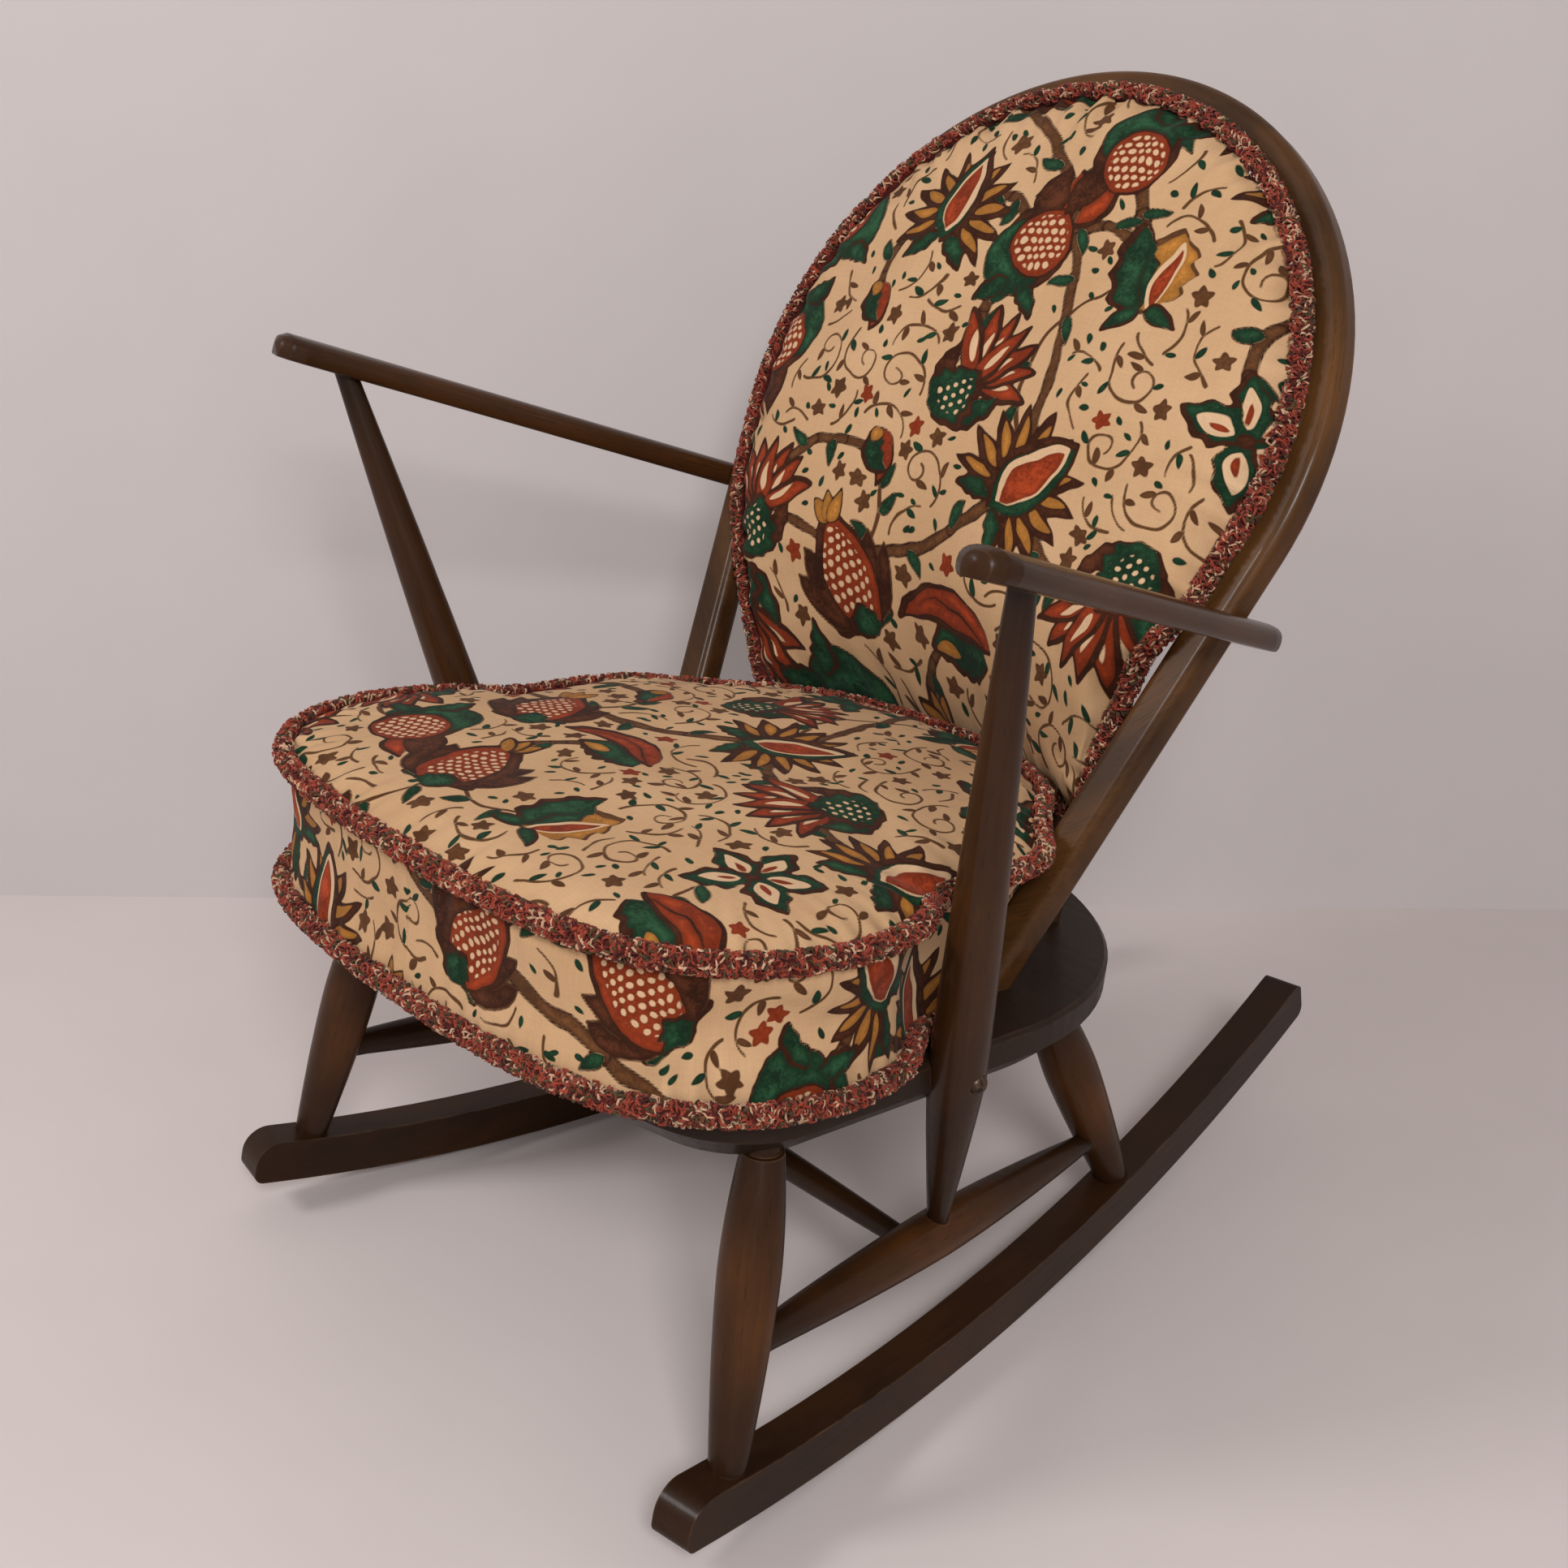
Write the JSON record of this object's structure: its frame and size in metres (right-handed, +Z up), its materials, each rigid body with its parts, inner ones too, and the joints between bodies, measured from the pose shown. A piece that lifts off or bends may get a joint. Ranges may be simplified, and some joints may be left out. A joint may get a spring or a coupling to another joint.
{
  "type": "hoop-back rocking chair with cushions",
  "caption": "Windsor-style hoop-back rocking chair with turned legs, sloping arms, a boxed seat cushion and a back cushion in floral print with bushy fringe.",
  "frame": {"origin": "on the floor, below the middle of the whole chair's bounding box; the rockers touch the floor 79 mm in front of it", "axes": "+X towards the sitter's left arm, +Y towards the back of the chair (a sitter faces -Y), +Z up"},
  "size_m": [0.7068, 0.8027, 0.8305],
  "materials": {
    "dark_wood": "satin, dark stained",
    "seat_wood": "satin, dark stained",
    "hoop_wood": "satin, stained, paler",
    "arm_wood": "polished, dark stained",
    "dark_metal": "browned steel",
    "printed_cotton": "matt cream cotton with a dark, green and rust floral print",
    "fringe_yarn": "bushy cut yarn in rust, cream and dark brown"
  },
  "bodies": {
    "frame": {"rocker_left": "dark_wood", "rocker_right": "dark_wood", "front_leg_left": "dark_wood", "front_leg_right": "dark_wood", "rear_leg_left": "dark_wood", "rear_leg_right": "dark_wood", "side_stretcher_left": "dark_wood", "side_stretcher_right": "dark_wood", "cross_stretcher": "dark_wood", "seat": "seat_wood", "hoop": "hoop_wood", "stick_1": "dark_wood", "stick_2": "dark_wood", "stick_3": "dark_wood", "stick_4": "dark_wood", "stick_5": "dark_wood", "stick_6": "dark_wood", "stick_7": "dark_wood", "arm_left": "arm_wood", "arm_right": "arm_wood", "arm_post_left": "dark_wood", "arm_post_right": "dark_wood", "post_bolts": "dark_metal", "arm_screws": "dark_metal"},
    "seat_cushion": {"seat_cushion": "printed_cotton", "seat_fringe_top": "fringe_yarn", "seat_fringe_bottom": "fringe_yarn"},
    "back_cushion": {"back_cushion": "printed_cotton", "back_fringe": "fringe_yarn"}
  },
  "joints": [
    {"name": "seat_cushion_slide", "type": "slide", "parent": "frame", "child": "seat_cushion", "axis": [0, -0.996, 0.0889], "range_m": [0, 0.1]},
    {"name": "back_cushion_lift", "type": "slide", "parent": "frame", "child": "back_cushion", "axis": [0, 0, 1], "range_m": [0, 0.12]}
  ]
}
